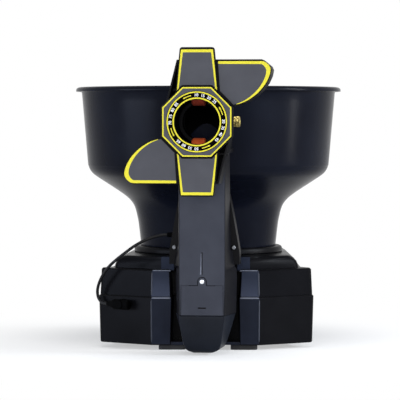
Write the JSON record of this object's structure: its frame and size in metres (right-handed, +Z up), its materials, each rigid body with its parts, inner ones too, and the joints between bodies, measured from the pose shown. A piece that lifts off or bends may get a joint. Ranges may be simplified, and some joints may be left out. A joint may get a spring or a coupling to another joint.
{
  "type": "ball launcher",
  "caption": "Table-tennis ball launcher with a round hopper, a swept column, a tilting and rolling two-wheel head, a dial ring and a low base.",
  "frame": {"origin": "centre of the footprint on the ground", "axes": "+Z up, +X to the viewer's right when the barrel faces the viewer, -Y out of the barrel"},
  "size_m": [0.33, 0.4398, 0.357],
  "materials": {
    "moulded_black_shell": "moulded satin",
    "moulded_black_hopper": "smooth satin gloss",
    "satin_grey_panel": "painted satin",
    "printed_grey_cover": "printed film on satin plastic",
    "inner_black_plastic": "matt",
    "white_nylon": "machined nylon",
    "orange_foam_tyre": "closed-cell foam",
    "foot_rubber": "matt",
    "zinc_plated_steel": "zinc plated",
    "motor_can_steel": "plated can",
    "power_supply_case": "folded sheet",
    "turned_brass": "turned and knurled",
    "circuit_board": "solder mask",
    "lead_jacket": "satin jacket"
  },
  "bodies": {
    "base": {"base_pan": "moulded_black_shell", "base_cover": "moulded_black_shell", "foot_front_left": "foot_rubber", "foot_front_right": "foot_rubber", "foot_rear_left": "foot_rubber", "foot_rear_right": "foot_rubber", "hopper": "moulded_black_hopper", "hopper_collar": "moulded_black_shell", "feed_floor": "inner_black_plastic", "feed_gearmotor": "motor_can_steel", "feed_duct": "inner_black_plastic", "cradle_arm": "inner_black_plastic", "pan_bush": "turned_brass", "sweep_motor": "motor_can_steel", "lead_socket": "inner_black_plastic", "lead_plug": "inner_black_plastic", "lead_gland": "inner_black_plastic", "head_lead": "lead_jacket", "power_inlet": "inner_black_plastic", "switch_frame": "inner_black_plastic", "power_supply": "power_supply_case", "control_board": "circuit_board"},
    "rotor": {"feed_rotor": "white_nylon", "feed_shaft": "zinc_plated_steel"},
    "pinion": {"sweep_pinion": "white_nylon"},
    "column": {"column_spine": "zinc_plated_steel", "sector_gear": "white_nylon", "pan_pin": "zinc_plated_steel", "ball_tube": "inner_black_plastic", "column_shell": "satin_grey_panel", "jam_hatch": "satin_grey_panel", "hatch_screw": "zinc_plated_steel", "column_rear_shell": "moulded_black_shell", "shell_screw_left": "zinc_plated_steel", "shell_screw_right": "zinc_plated_steel", "column_nose": "moulded_black_shell", "tilt_yoke": "moulded_black_shell", "tilt_pin_left": "zinc_plated_steel", "tilt_pin_right": "zinc_plated_steel"},
    "thumb": {"thumb_screw": "turned_brass"},
    "tilt": {"tilt_drum": "inner_black_plastic", "swivel_flange": "inner_black_plastic"},
    "head": {"wheel_housing": "moulded_black_shell", "barrel": "inner_black_plastic", "bezel": "printed_grey_cover", "dial_ring": "inner_black_plastic", "cover_upper": "printed_grey_cover", "cover_lower": "printed_grey_cover", "wing_right": "printed_grey_cover", "wing_left": "printed_grey_cover", "wheel_motor_upper": "motor_can_steel", "wheel_motor_lower": "motor_can_steel"},
    "upper_wheel": {"wheel_hub_upper": "white_nylon", "wheel_tyre_upper": "orange_foam_tyre"},
    "lower_wheel": {"wheel_hub_lower": "white_nylon", "wheel_tyre_lower": "orange_foam_tyre"},
    "rocker": {"power_switch": "inner_black_plastic"}
  },
  "joints": [
    {"name": "column_sweep", "type": "hinge", "parent": "base", "child": "column", "pos_m": [0, -0.13209, 0.1], "axis": [0, 0, 1], "range_deg": [-10.6, 19.4]},
    {"name": "sweep_pinion_spin", "type": "hinge", "parent": "base", "child": "pinion", "pos_m": [0, -0.09014, 0.072], "axis": [0, 0, 1], "range_deg": [-82, 45]},
    {"name": "head_tilt", "type": "hinge", "parent": "column", "child": "tilt", "pos_m": [0, -0.13209, 0.272], "axis": [-0.9971, 0.0767, 0], "range_deg": [-3, 25]},
    {"name": "head_roll", "type": "hinge", "parent": "tilt", "child": "head", "pos_m": [-0.00284, -0.16898, 0.272], "axis": [0.0767, 0.9971, 0], "range_deg": [-180, 180]},
    {"name": "wheel_upper_spin", "type": "hinge", "parent": "head", "child": "upper_wheel", "pos_m": [-0.00447, -0.19012, 0.3087], "axis": [0.9971, -0.0767, 0], "continuous": true},
    {"name": "wheel_lower_spin", "type": "hinge", "parent": "head", "child": "lower_wheel", "pos_m": [-0.00447, -0.19012, 0.2353], "axis": [0.9971, -0.0767, 0], "continuous": true},
    {"name": "feed_spin", "type": "hinge", "parent": "base", "child": "rotor", "pos_m": [0, 0.05491, 0.12], "axis": [0, 0, 1], "continuous": true},
    {"name": "thumb_screw_turn", "type": "hinge", "parent": "column", "child": "thumb", "pos_m": [0.03839, -0.13504, 0.272], "axis": [0.9971, -0.0767, 0], "continuous": true},
    {"name": "power_rocker", "type": "hinge", "parent": "base", "child": "rocker", "pos_m": [-0.022, 0.17221, 0.036], "axis": [1, 0, 0], "range_deg": [-8, 8]}
  ],
  "couplings": [
    {"joint": "sweep_pinion_spin", "follows": "column_sweep", "ratio": -4.2}
  ]
}
